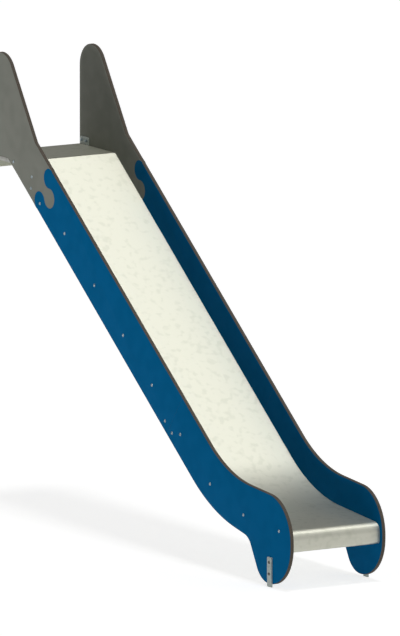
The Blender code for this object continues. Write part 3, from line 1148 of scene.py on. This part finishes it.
@dataclass
class Chute:
    """Start platform, bed, side flanges and ribs, all in steel."""

    nose_radius: float = 0.050
    nose_drop: float = 0.101
    lip_radius: float = 0.018
    lip_return: float = 0.025
    flange_depth: float = 0.030
    flange_plate: float = 0.004
    flange_nose_setback: float = 0.075
    flange_end_radius: float = 0.008
    flange_crest_radius: float = 0.012
    flange_back_radius: float = 0.004
    flange_rim: float = 0.0005
    rib_width: float = 0.060
    rib_depth: float = 0.025
    rib_sheet: float = 0.003
    rib_bend: float = 0.004
    deck_rib: float = 0.175
    slope_ribs: tuple[float, ...] = (0.585, 0.990, 1.395, 2.160)
    runout_rib: float = 0.400
    fold_radius: float = 0.006
    stitch: float = 0.035
    stitch_steps: int = 6
    stitch_start: float = 0.09
    stitch_pitch: float = 0.175
    stitch_count: int = 16
    rib_stitches: tuple[float, ...] = (-0.16, 0.0, 0.16)
    weld_inset: float = 0.001

    def sheet_width(self) -> float:
        """Width of the sheet between the panels."""
        return 2 * (VIEW.half_width - VIEW.gap)

    def crest_mitre(self, offset: float) -> Point:
        """Underside end of the mitre at the crest, moved forward by an offset."""
        corner = meet((0, VIEW.deck - VIEW.sheet), 0, VIEW.on_slope(0, -VIEW.sheet), -VIEW.slope)
        return shift(corner, (offset, 0))

    def build_platform(self) -> None:
        """Deck with its back edge folded down, in one sheet with a rounded fold."""
        low = -VIEW.back_flange / 2
        fold = self.fold_radius
        corners = [
            ((0, low), 0), ((0, VIEW.deck), fold), (shift(VIEW.crest, (-VIEW.gap, 0)), 0),
            (self.crest_mitre(-VIEW.gap), 0), ((VIEW.sheet, VIEW.deck - VIEW.sheet), fold - VIEW.sheet),
            ((VIEW.sheet, low), 0),
        ]
        piece = board("platform_sheet", rounded(corners), self.sheet_width(), across=0.0, rims=0.0)
        coat(piece, CHUTE_STEEL, CHUTE_STEEL)
        settle(piece, Slot.STEEL, "start_platform")

    def bed_corners(self, above: float) -> Corners:
        """Corners along the bed, run-out, nose and lip, at one offset from the surface.

        Args:
            above: Offset above the surface.

        Returns:
            Corners with their radii.
        """
        front = VIEW.nose_front + above
        nose = meet(VIEW.on_runout(0, above), -VIEW.runout_slope, (front, 0), math.pi / 2)
        reach = (VIEW.nose_front - VIEW.sag[0]) / math.cos(VIEW.runout_slope)
        lip = VIEW.on_runout(reach)[1] - self.nose_drop - above
        return [
            VIEW.sag_corner(above),
            (nose, self.nose_radius + above),
            ((front, lip), self.lip_radius + above),
            ((VIEW.nose_front - self.lip_radius - self.lip_return, lip), 0),
        ]

    def build_bed(self) -> None:
        """Bed in one bent sheet, swept across the slide by a node tree."""
        middle = -VIEW.sheet / 2
        start = meet((0, VIEW.deck + middle), 0, VIEW.on_slope(0, middle), -VIEW.slope)
        corners = [(start, 0.0)] + self.bed_corners(middle)
        path = [start] + rounded(corners + [(start, 0.0)])[1:-1]
        source = path_object("bed_sheet", [[place(p, 0.0) for p in path]])
        piece = grow(source, bent_sheet(), {"Width": self.sheet_width(), "Sheet": VIEW.sheet,
                                            "Material": CHUTE_STEEL.material()})
        soften(piece, FOLD_SHARP)
        settle(piece, Slot.STEEL, "slide_bed")

    def build_flange(self, side: Side) -> None:
        """Flat on edge that is welded under the deck and the bed along one side.

        Args:
            side: Side of the slide.
        """
        top = -VIEW.sheet - VIEW.gap
        low = top - self.flange_depth
        deck_back = VIEW.sheet + VIEW.gap
        end = (VIEW.nose_front - self.flange_nose_setback - VIEW.sag[0]) / math.cos(VIEW.runout_slope)
        corners = [
            ((deck_back, VIEW.deck + top), 0),
            (meet((0, VIEW.deck + top), 0, VIEW.on_slope(0, top), -VIEW.slope), 0),
            VIEW.sag_corner(top),
            (VIEW.on_runout(end, top), 0),
            (VIEW.on_runout(end, low), self.flange_end_radius),
            VIEW.sag_corner(low),
            (meet((0, VIEW.deck + low), 0, VIEW.on_slope(0, low), -VIEW.slope), self.flange_crest_radius),
            ((deck_back, VIEW.deck + low), self.flange_back_radius),
        ]
        across = side.value * (VIEW.half_width - VIEW.gap - self.flange_plate / 2)
        name = f"flange_strip_{side.label}"
        piece = board(name, rounded(corners), self.flange_plate, across, self.flange_rim, 2)
        coat(piece, PLATE_STEEL, PLATE_STEEL)
        settle(piece, Slot.STEEL, f"chute_flange_{side.label}")

    def rib_places(self) -> list[tuple[Point, float]]:
        """Top middle of each rib under the sheet, with the heading there.

        Returns:
            The ribs' places, from the deck down.
        """
        below = -VIEW.sheet - VIEW.gap
        places = [((self.deck_rib, VIEW.deck + below), 0.0)]
        places += [(VIEW.on_slope(along, below), -VIEW.slope) for along in self.slope_ribs]
        return places + [(VIEW.on_runout(self.runout_rib, below), -VIEW.runout_slope)]

    def build_ribs(self) -> None:
        """Folded channels under the deck, the bed and the run-out."""
        places = self.rib_places()
        source = points_object("folded_ribs", [place(p, 0.0) for p, _ in places],
                               slope=[-heading for _, heading in places])
        length = 2 * (VIEW.half_width - 2 * VIEW.gap - self.flange_plate)
        piece = grow(source, folded_ribs(), {
            "Width": self.rib_width, "Depth": self.rib_depth, "Length": length, "Sheet": self.rib_sheet,
            "Bend": self.rib_bend, "Material": PLATE_STEEL.material()})
        soften(piece, FOLD_SHARP)
        settle(piece, Slot.BAR, "deck_rib", "bed_rib_1", "bed_rib_2", "bed_rib_3", "bed_rib_4", "runout_rib")

    def build_welds(self) -> None:
        """Stitch welds along the flanges and beside the ribs' legs, under the sheet."""
        paths: list[list[Vector]] = []
        inner = VIEW.half_width - VIEW.gap - self.flange_plate
        below = -VIEW.sheet - self.weld_inset
        for side in Side:
            for number in range(self.stitch_count):
                start = self.stitch_start + number * self.stitch_pitch
                lengths = [start + self.stitch * i / self.stitch_steps for i in range(self.stitch_steps + 1)]
                steps = [VIEW.along_bed(length, below)[0] for length in lengths]
                paths.append([place(p, side.value * (inner - self.weld_inset)) for p in steps])
        for point, heading in self.rib_places():
            for edge in (-1, 1):
                leg = shift(point, polar(heading, edge * (self.rib_width / 2 + self.weld_inset)))
                for middle in self.rib_stitches:
                    paths.append([place(leg, middle - self.stitch / 2), place(leg, middle + self.stitch / 2)])
        piece = grow(path_object("stitch_welds", paths), weld_beads(), {"Material": WELD_STEEL.material()})
        settle(piece, Slot.STEEL)

    def build(self) -> None:
        """Build and dress the whole chute."""
        self.build_platform()
        self.build_bed()
        for side in Side:
            self.build_flange(side)
        self.build_ribs()
        self.build_welds()


@dataclass
class Panels:
    """Ears and side panels: pressed laminate boards with rounded rims."""

    rim: float = 0.0028
    seam_gap: float = 0.0005
    seam_along: float = 1.805
    hook_radius: float = 0.0495
    hook_along: float = 0.226
    ear_slope: float = math.radians(56.2)
    ear_tip_radius: float = 0.120
    ear_height: float = 0.515
    ear_kink_radius: float = 0.050
    ear_base_below_deck: float = 0.008
    ear_heel_radius: float = 0.010
    ear_chin_radius: float = 0.030
    belly_slope: float = math.radians(11.0)
    lobe_front: float = 0.192
    lobe_clearance: float = 0.0125
    lobe_top_radius: float = 0.220
    lobe_toe_radius: float = 0.205
    lobe_heel_radius: float = 0.130
    lobe_back_lean: float = math.radians(60.0)
    lobe_back_corner: float = -0.095
    knee_radius: float = 0.090
    feather: tuple[float, ...] = (0.036, 0.024, 0.012)
    short_edge: float = 0.02

    def across(self, side: Side) -> float:
        """X of a panel's middle."""
        return side.value * (VIEW.half_width + VIEW.panel / 2)

    def hook_joint(self, clearance: float) -> list[Point]:
        """Hook joint from the top edge to the lower edge, in (along, above).

        Args:
            clearance: Half the seam's gap, positive on the ears' side.

        Returns:
            Points of the joint.
        """
        reach = (VIEW.panel_above + VIEW.panel_below) / 2 - self.hook_radius
        knob_offset = math.sqrt((2 * self.hook_radius) ** 2 - reach**2)
        lean = math.atan2(reach, knob_offset)
        outer = self.hook_radius + clearance
        inner = self.hook_radius - clearance
        open_at = math.acos(min(1.0, self.hook_radius / outer)) if clearance > 0 else 0.0
        top = (self.hook_along, VIEW.panel_above - self.hook_radius)
        knob = (self.hook_along + knob_offset, top[1] - reach)
        tip = (self.hook_along, knob[1] - reach)
        quarter = math.pi / 2
        points = arc(top, outer, quarter + open_at, 2 * math.pi - lean)
        points += arc(knob, inner, math.pi - lean, lean - math.pi)[1:]
        points += arc(tip, outer, lean, 3 * quarter - open_at)[1:]
        return points

    def rims(self, outline: list[Point], joint: list[Point]) -> list[float]:
        """Rim radius of each edge: none in a joint, and less where the board runs out beside one.

        Args:
            outline: The outline's points.
            joint: Points of the joint within it.

        Returns:
            One radius for each edge.
        """
        cut = {(round(x, SAME_DIGITS), round(y, SAME_DIGITS)) for x, y in joint}
        inside = [(round(x, SAME_DIGITS), round(y, SAME_DIGITS)) in cut for x, y in outline]
        radii = []
        for i, point in enumerate(outline):
            j = (i + 1) % len(outline)
            if inside[i] and inside[j]:
                radii.append(0.0)
                continue
            middle = ((point[0] + outline[j][0]) / 2, (point[1] + outline[j][1]) / 2)
            away = min(math.dist(middle, joint[0]), math.dist(middle, joint[-1]))
            short = math.dist(point, outline[j]) < self.short_edge
            radii.append(self.rim * min(1.0, (away / self.feather[0]) ** 2) if short else self.rim)
        return radii

    def ear_outline(self) -> tuple[list[Point], list[Point]]:
        """Outline of an ear and the joint within it.

        Returns:
            The outline's points and those of the joint.
        """
        tip_top = VIEW.deck + self.ear_height
        tip_centre = (self.ear_tip_radius, tip_top - self.ear_tip_radius)
        front_point = shift(tip_centre, polar(math.pi / 2 - self.ear_slope, self.ear_tip_radius))
        tip_corner = meet((0, 0), math.pi / 2, front_point, -self.ear_slope)
        kink = meet(front_point, -self.ear_slope, VIEW.on_slope(0, VIEW.panel_above), -VIEW.slope)
        base = VIEW.deck - self.ear_base_below_deck
        chin = meet((0, base), 0, VIEW.on_slope(0, -VIEW.panel_below), -VIEW.slope)
        joint = [VIEW.on_slope(*point) for point in self.hook_joint(self.seam_gap / 2)]
        corners = [((0, base), self.ear_heel_radius), (tip_corner, self.ear_tip_radius), (kink, self.ear_kink_radius)]
        corners += [(shift(joint[0], polar(-VIEW.slope, -back)), 0) for back in self.feather]
        corners += [(point, 0) for point in joint]
        corners += [(shift(joint[-1], polar(-VIEW.slope, -back)), 0) for back in self.feather[::-1]]
        corners += [(chin, self.ear_chin_radius)]
        return rounded(corners), joint

    def upper_outline(self) -> tuple[list[Point], list[Point]]:
        """Outline of an upper side panel and the joint within it.

        Returns:
            The outline's points and those of the joint.
        """
        seam = self.seam_along - self.seam_gap / 2
        joint = [(self.hook_along, VIEW.panel_above)] + self.hook_joint(-self.seam_gap / 2)
        joint += [(self.hook_along, -VIEW.panel_below)]
        cut = [VIEW.on_slope(*point) for point in joint]
        ends = [VIEW.on_slope(seam, -VIEW.panel_below), VIEW.on_slope(seam, VIEW.panel_above)]
        return cut + ends, cut

    def lower_outline(self) -> list[Point]:
        """Outline of a lower side panel, round the run-out and the lobe.

        Returns:
            The outline's points.
        """
        seam = self.seam_along + self.seam_gap / 2
        front = VIEW.foot + self.lobe_front
        bottom = VIEW.ground + self.lobe_clearance
        heel = (VIEW.foot + self.lobe_back_corner, bottom)
        sag, radius = VIEW.sag_corner(-VIEW.panel_below, -VIEW.runout_below)
        run = radius * math.tan((VIEW.slope - VIEW.runout_slope) / 2)
        centre = shift(sag, polar(-VIEW.slope, -run), polar(math.pi / 2 - VIEW.slope, radius))
        touch = shift(centre, polar(-math.pi / 2 - self.belly_slope, radius))
        belly = meet(sag, -VIEW.slope, touch, -self.belly_slope)
        knee = meet(heel, math.pi - self.lobe_back_lean, belly, -self.belly_slope)
        crown = meet(VIEW.on_runout(0, VIEW.panel_above), -VIEW.runout_slope, (front, 0), math.pi / 2)
        corners = [
            (VIEW.on_slope(seam, VIEW.panel_above), 0), VIEW.sag_corner(VIEW.panel_above),
            (crown, self.lobe_top_radius), ((front, bottom), self.lobe_toe_radius), (heel, self.lobe_heel_radius),
            (knee, self.knee_radius), (belly, radius), (VIEW.on_slope(seam, -VIEW.panel_below), 0),
        ]
        return rounded(corners)

    def build(self) -> None:
        """Build and dress the ears and the side panels."""
        ear, ear_joint = self.ear_outline()
        upper, upper_joint = self.upper_outline()
        lower = self.lower_outline()
        upper_rims = self.rims(upper, upper_joint)
        lower_rims = [self.rim] * len(lower)
        # The edges along the plain seam are cut square.
        upper_rims[-2] = 0.0
        lower_rims[-1] = 0.0
        made = [
            ("ear_board", "ear_panel", ear, self.rims(ear, ear_joint), Slot.GREY, GREY_FACE),
            ("upper_board", "upper_side_panel", upper, upper_rims, Slot.BLUE, BLUE_FACE),
            ("lower_board", "lower_side_panel", lower, lower_rims, Slot.BLUE, BLUE_FACE),
        ]
        for side in Side:
            for name, node, outline, rims, slot, face in made:
                piece = board(f"{name}_{side.label}", outline, VIEW.panel, self.across(side), rims)
                coat(piece, face, BROWN_CORE)
                settle(piece, slot, f"{node}_{side.label}")


@dataclass
class Hardware:
    """Foot bars, lugs, joint plates and cross tubes."""

    foot_bar: tuple[float, float, float] = (0.040, 0.008, 0.146)
    foot_bar_radius: float = 0.004
    foot_bar_rim: float = 0.0008
    lug: tuple[float, float, float] = (0.085, 0.040, 0.004)
    lug_radius: float = 0.008
    lug_setback: float = 0.012
    plate: tuple[float, float, float] = (0.150, 0.044, 0.005)
    plate_radius: float = 0.009
    plate_rim: float = 0.0006
    joint_below: float = 0.062
    hook_plate_along: float = 0.182
    seam_plate_along: float = 1.797
    tube_radius: float = 0.017
    tube_wall: float = 0.0026
    tube_sides: int = 48
    ring_steps: int = 40
    ring_off_tube: float = 0.0006
    ring_off_plate: float = 0.001
    fillet_inset: float = 0.003
    fillet_off_lug: float = 0.0008
    fillet_up: float = 0.0005
    bead_radius: float = 0.0018
    bead_pitch: float = 0.002

    def build_flat(self, name: str, node: str, corners: Corners, thick: float, across: float, rim: float,
                   turns: int = 2) -> None:
        """Flat piece of bar or plate.

        Args:
            name: Name of the piece.
            node: CAD node that it stands for.
            corners: Its corners in the side view.
            thick: Its thickness.
            across: X of its middle.
            rim: Radius of its rims.
            turns: Facets in each rim.
        """
        piece = board(name, rounded(corners), thick, across, rim, turns)
        coat(piece, BAR_ZINC, BAR_ZINC)
        settle(piece, Slot.BAR, node)

    def build_foot_bar(self, side: Side) -> None:
        """Flat bar down the outer face of a lobe to the ground.

        Args:
            side: Side of the slide.
        """
        wide, thick, high = self.foot_bar
        middle = (VIEW.foot, VIEW.ground + high / 2)
        corners = box_corners(middle, math.pi / 2, high, wide, (0.0, self.foot_bar_radius, self.foot_bar_radius, 0.0))
        across = side.value * (VIEW.half_width + VIEW.panel + VIEW.gap + thick / 2)
        self.build_flat(f"foot_flat_{side.label}", f"foot_bar_{side.label}", corners, thick, across,
                        self.foot_bar_rim, turns=3)

    def build_lug(self, side: Side) -> None:
        """Lug on the platform against the ear, with its upper corners rounded.

        Args:
            side: Side of the slide.
        """
        long, high, thick = self.lug
        middle = (self.lug_setback + long / 2, VIEW.deck + VIEW.gap + high / 2)
        corners = box_corners(middle, 0.0, long, high, (0.0, 0.0, self.lug_radius, self.lug_radius))
        across = side.value * (VIEW.half_width - VIEW.gap - thick / 2)
        self.build_flat(f"lug_plate_{side.label}", f"ear_lug_{side.label}", corners, thick, across, self.plate_rim)

    def build_plate(self, side: Side, name: str, along: float) -> None:
        """Plate with rounded corners that ties two panels together under the bed.

        Args:
            side: Side of the slide.
            name: Name of the joint that it lies behind.
            along: Distance down the slope.
        """
        long, wide, thick = self.plate
        middle = VIEW.on_slope(along, -self.joint_below)
        corners = box_corners(middle, -VIEW.slope, long, wide, (self.plate_radius,) * 4)
        across = side.value * (VIEW.half_width - VIEW.gap - thick / 2)
        self.build_flat(f"{name}_tie_{side.label}", f"{name}_joint_plate_{side.label}", corners, thick, across,
                        self.plate_rim)

    def build_tube(self, name: str, node: str, along: float) -> None:
        """Round tube across the slide, welded to a plate at each end.

        Args:
            name: Name of the piece.
            node: CAD node that it stands for.
            along: Distance down the slope.
        """
        half = VIEW.half_width - 2 * VIEW.gap - self.plate[2]
        bore = self.tube_radius - self.tube_wall
        forward, up = VIEW.on_slope(along, -self.joint_below)
        bm = bmesh.new()
        rings = []
        for radius, across in ((self.tube_radius, -half), (self.tube_radius, half), (bore, half), (bore, -half)):
            turns = [polar(2 * math.pi * i / self.tube_sides, radius) for i in range(self.tube_sides)]
            rings.append([bm.verts.new((across, -forward + a, up + b)) for a, b in turns])
        for r, ring in enumerate(rings):
            other = rings[(r + 1) % len(rings)]
            for i in range(self.tube_sides):
                j = (i + 1) % self.tube_sides
                bm.faces.new((ring[i], other[i], other[j], ring[j])).smooth = True
        bmesh.ops.recalc_face_normals(bm, faces=bm.faces)
        mesh = bpy.data.meshes.new(name)
        bm.to_mesh(mesh)
        bm.free()
        mesh.set_sharp_from_angle(angle=FOLD_SHARP)
        piece = link(bpy.data.objects.new(name, mesh))
        coat(piece, BAR_ZINC)
        settle(piece, Slot.BAR, node)

    def build_welds(self) -> None:
        """Ring welds at the tubes' ends and fillets along the lugs' feet."""
        paths: list[list[Vector]] = []
        for along in (self.hook_plate_along, self.seam_plate_along):
            middle = VIEW.on_slope(along, -self.joint_below)
            for side in Side:
                across = side.value * (VIEW.half_width - 2 * VIEW.gap - self.plate[2] - self.ring_off_plate)
                turns = [2 * math.pi * i / self.ring_steps for i in range(self.ring_steps + 1)]
                ring = [shift(middle, polar(turn, self.tube_radius + self.ring_off_tube)) for turn in turns]
                paths.append([place(p, across) for p in ring])
        level = VIEW.deck + self.fillet_up
        start = self.lug_setback + self.fillet_inset
        end = start + self.lug[0] - 2 * self.fillet_inset
        for side in Side:
            across = side.value * (VIEW.half_width - VIEW.gap - self.lug[2] - self.fillet_off_lug)
            paths.append([place((start, level), across), place((end, level), across)])
        piece = grow(path_object("ring_welds", paths), weld_beads(), {
            "Bead Radius": self.bead_radius, "Pitch": self.bead_pitch, "Material": WELD_STEEL.material()})
        settle(piece, Slot.BAR)

    def build(self) -> None:
        """Build and dress all of it."""
        for side in Side:
            self.build_foot_bar(side)
            self.build_lug(side)
            self.build_plate(side, "hook", self.hook_plate_along)
            self.build_plate(side, "seam", self.seam_plate_along)
        self.build_tube("upper_tube", "upper_cross_tube", self.hook_plate_along)
        self.build_tube("lower_tube", "lower_cross_tube", self.seam_plate_along)
        self.build_welds()


@dataclass
class Fasteners:
    """Bolts through the panels, with their nuts inside."""

    chute_bolts: tuple[float, ...] = (0.100, 0.500, 0.863, 1.212, 1.559, 1.900, 2.249, 2.582, 2.921)
    chute_below: float = 0.0105
    deck_bolt: Point = (0.2425, 0.023)
    tie_below: float = Hardware.joint_below
    tie_bolts: tuple[float, ...] = (0.128, 0.236, 1.755, 1.839)
    foot_bolts: tuple[float, ...] = (0.064, 0.121)
    lug_bolts: tuple[float, ...] = (0.032, 0.077)
    lug_bolt_up: float = 0.022
    flange_plate: float = Chute.flange_plate
    tie_plate: float = Hardware.plate[2]
    foot_bar: float = Hardware.foot_bar[1]
    head_seed: int = 3
    nut_seed: int = 5

    def outer_points(self) -> list[Point]:
        """Bolts whose heads lie on a panel's outer face."""
        return self.chute_points() + self.tie_points() + self.lug_points()

    def chute_points(self) -> list[Point]:
        """Bolts through the panels and the chute's flanges."""
        return [self.deck_bolt] + [VIEW.along_bed(length, -self.chute_below)[0] for length in self.chute_bolts]

    def tie_points(self) -> list[Point]:
        """Bolts through the panels and the joint plates."""
        return [VIEW.on_slope(along, -self.tie_below) for along in self.tie_bolts]

    def lug_points(self) -> list[Point]:
        """Bolts through the ears and the lugs."""
        return [(forward, VIEW.deck + self.lug_bolt_up) for forward in self.lug_bolts]

    def add_heads(self, name: str, points: list[Vector], turn: float, finish: Finish) -> None:
        """Build one piece of bolt heads.

        Args:
            name: Name of the piece.
            points: Middle of each one's seat.
            turn: Turn about the vertical, so that they face away from the panel.
            finish: Metal they are made of.
        """
        self.add(points_object(name, points), bolt_heads(), turn, self.head_seed, finish)

    def add_nuts(self, name: str, points: list[Vector], turn: float) -> None:
        """Build one piece of nuts.

        Args:
            name: Name of the piece.
            points: Middle of each one's seat.
            turn: Turn about the vertical, so that they face away from the panel.
        """
        self.add(points_object(name, points), hex_nuts(), turn, self.nut_seed, BOLT_STEEL)

    def add(self, source: bpy.types.Object, kind: bpy.types.NodeTree, turn: float, seed: int, finish: Finish) -> None:
        """Grow one piece of heads or nuts on its points.

        Args:
            source: The points.
            kind: Node tree that grows them.
            turn: Turn about the vertical.
            seed: Seed of each one's own turn.
            finish: Metal they are made of.
        """
        piece = grow(source, kind, {"Turn": turn, "Seed": seed, "Material": finish.material()})
        soften(piece, HEAD_SHARP)
        settle(piece, Slot.BAR)

    def build(self) -> None:
        """Place heads outside and nuts inside, on both sides."""
        outer_face = VIEW.half_width + VIEW.panel
        bar_face = outer_face + VIEW.gap + self.foot_bar
        inner_faces = [
            (self.chute_points() + self.lug_points(), VIEW.half_width - VIEW.gap - self.flange_plate),
            (self.tie_points(), VIEW.half_width - VIEW.gap - self.tie_plate),
        ]
        for side in Side:
            outward = 0.0 if side is Side.RIGHT else math.pi
            heads = [place(p, side.value * outer_face) for p in self.outer_points()]
            self.add_heads(f"bolt_heads_{side.label}", heads, outward, BOLT_STEEL)
            feet = [place((VIEW.foot, VIEW.ground + up), side.value * bar_face) for up in self.foot_bolts]
            self.add_heads(f"foot_bolt_heads_{side.label}", feet, outward, DARK_BOLT)
            nuts = [place(p, side.value * face) for points, face in inner_faces for p in points]
            self.add_nuts(f"hex_nuts_{side.label}", nuts, math.pi - outward)


@dataclass(frozen=True)
class Lamp:
    """Soft lamp that lights the whole slide from one direction."""

    name: str
    power: float
    spread: float
    towards: tuple[float, float, float]
    shadows: bool = True

    def build(self) -> None:
        """Add the lamp."""
        data = bpy.data.lights.new(self.name, "SUN")
        data.energy = self.power
        data.angle = self.spread
        data.use_shadow = self.shadows
        lamp = link(bpy.data.objects.new(self.name, data))
        lamp.matrix_world = Vector(self.towards).to_track_quat("Z", "Y").to_matrix().to_4x4()


@dataclass
class Studio:
    """Floor, soft light and the camera at the photograph's viewing angle."""

    azimuth: float = math.radians(-30.484)
    elevation: float = math.radians(9.694)
    distance: float = 90.929
    lens: float = 1050.0
    sensor: float = 36.0
    clip: tuple[float, float] = (1.0, 400.0)
    aim: tuple[float, float, float] = (0.0, -1.4915, -0.617)
    aim_right: float = 0.0575
    aim_up: float = 0.0157
    floor_size: float = 80.0
    floor_colour: Colour = (0.72, 0.72, 0.72)
    floor_roughness: float = 0.9
    floor_gloss: float = 0.1
    floor_glow: float = 0.20
    floor_white: float = 0.52
    lamps: tuple[Lamp, ...] = (
        Lamp("bed_lamp", 0.97, math.radians(10.0), (0.20, -0.10, 0.97), shadows=False),
        Lamp("overhead_lamp", 0.6, math.radians(12.0), (0.02, -0.12, 0.98)),
        Lamp("side_lamp", 0.74, math.radians(6.0), (-1.0, 0.0, 0.0)),
    )
    surround: float = 0.17
    surround_seen: float = 1.0
    behind: float = 0.085
    behind_towards: tuple[float, float, float] = (0.50, 0.84, 0.20)
    front: float = 0.50
    front_towards: tuple[float, float, float] = (0.50, -0.84, 0.20)
    fade: tuple[float, float] = (0.35, 0.90)

    def build_floor(self) -> None:
        """Plain pale floor at ground level, lit from within to soften the shadow, for the camera a little more."""
        half = self.floor_size / 2
        mesh = bpy.data.meshes.new("floor")
        low = VIEW.ground
        corners = [(-half, -half, low), (half, -half, low), (half, half, low), (-half, half, low)]
        mesh.from_pydata(corners, [], [(0, 1, 2, 3)])
        material, graph, shader, _ = begin_material("pale_floor")
        seen = graph.add("ShaderNodeLightPath").outputs["Is Camera Ray"]
        graph.feed(shader, {
            "Base Color": opaque(self.floor_colour), "Roughness": self.floor_roughness,
            "Specular IOR Level": self.floor_gloss, "Emission Color": opaque(WHITE),
            "Emission Strength": graph.mix(seen, self.floor_glow, self.floor_white)})
        mesh.materials.append(material)
        link(bpy.data.objects.new("floor", mesh))

    def build_surround(self) -> None:
        """Dim surround, darker behind and lighter in front; the camera sees it as a pale backdrop."""
        world = bpy.data.worlds.new("studio")
        world.use_nodes = True
        bpy.context.scene.world = world
        graph = Graph(world.node_tree)
        background = world.node_tree.nodes["Background"]
        direction = graph.add("ShaderNodeTexCoord").outputs["Generated"]
        level: Any = self.surround
        for towards, reach in ((self.behind_towards, self.behind), (self.front_towards, self.front)):
            near = graph.add("ShaderNodeVectorMath", {0: direction, 1: towards}, operation="DOT_PRODUCT")
            level = graph.mix(graph.fade(near.outputs["Value"], *self.fade), level, reach)
        seen = graph.add("ShaderNodeLightPath").outputs["Is Camera Ray"]
        graph.feed(background, {"Color": opaque(WHITE), "Strength": graph.mix(seen, level, self.surround_seen)})

    def build_camera(self) -> None:
        """Camera far back with a long lens, as the photograph's lines stay parallel."""
        data = bpy.data.cameras.new("camera")
        camera = link(bpy.data.objects.new("camera", data))
        back = Vector((
            math.sin(self.azimuth) * math.cos(self.elevation),
            -math.cos(self.azimuth) * math.cos(self.elevation),
            math.sin(self.elevation),
        ))
        right = Vector((math.cos(self.azimuth), math.sin(self.azimuth), 0.0))
        up = back.cross(right)
        target = Vector(self.aim) + right * self.aim_right + up * self.aim_up
        data.lens = self.lens
        data.sensor_width = self.sensor
        data.clip_start, data.clip_end = self.clip
        turn = Matrix((right, up, back)).transposed().to_4x4()
        camera.matrix_world = Matrix.Translation(target + back * self.distance) @ turn
        bpy.context.scene.camera = camera

    def build(self) -> None:
        """Set up the whole studio."""
        self.build_floor()
        for lamp in self.lamps:
            lamp.build()
        self.build_surround()
        self.build_camera()
        bpy.context.scene.view_settings.view_transform = "Standard"


def main() -> None:
    """Build the slide's pieces in order, then the studio."""
    logging.basicConfig(level=logging.INFO, format="%(name)s %(message)s")
    for assembly in (Chute(), Panels(), Hardware(), Fasteners()):
        log.info("building %s", type(assembly).__name__)
        assembly.build()
    Studio().build()


if __name__ == "__main__":
    main()
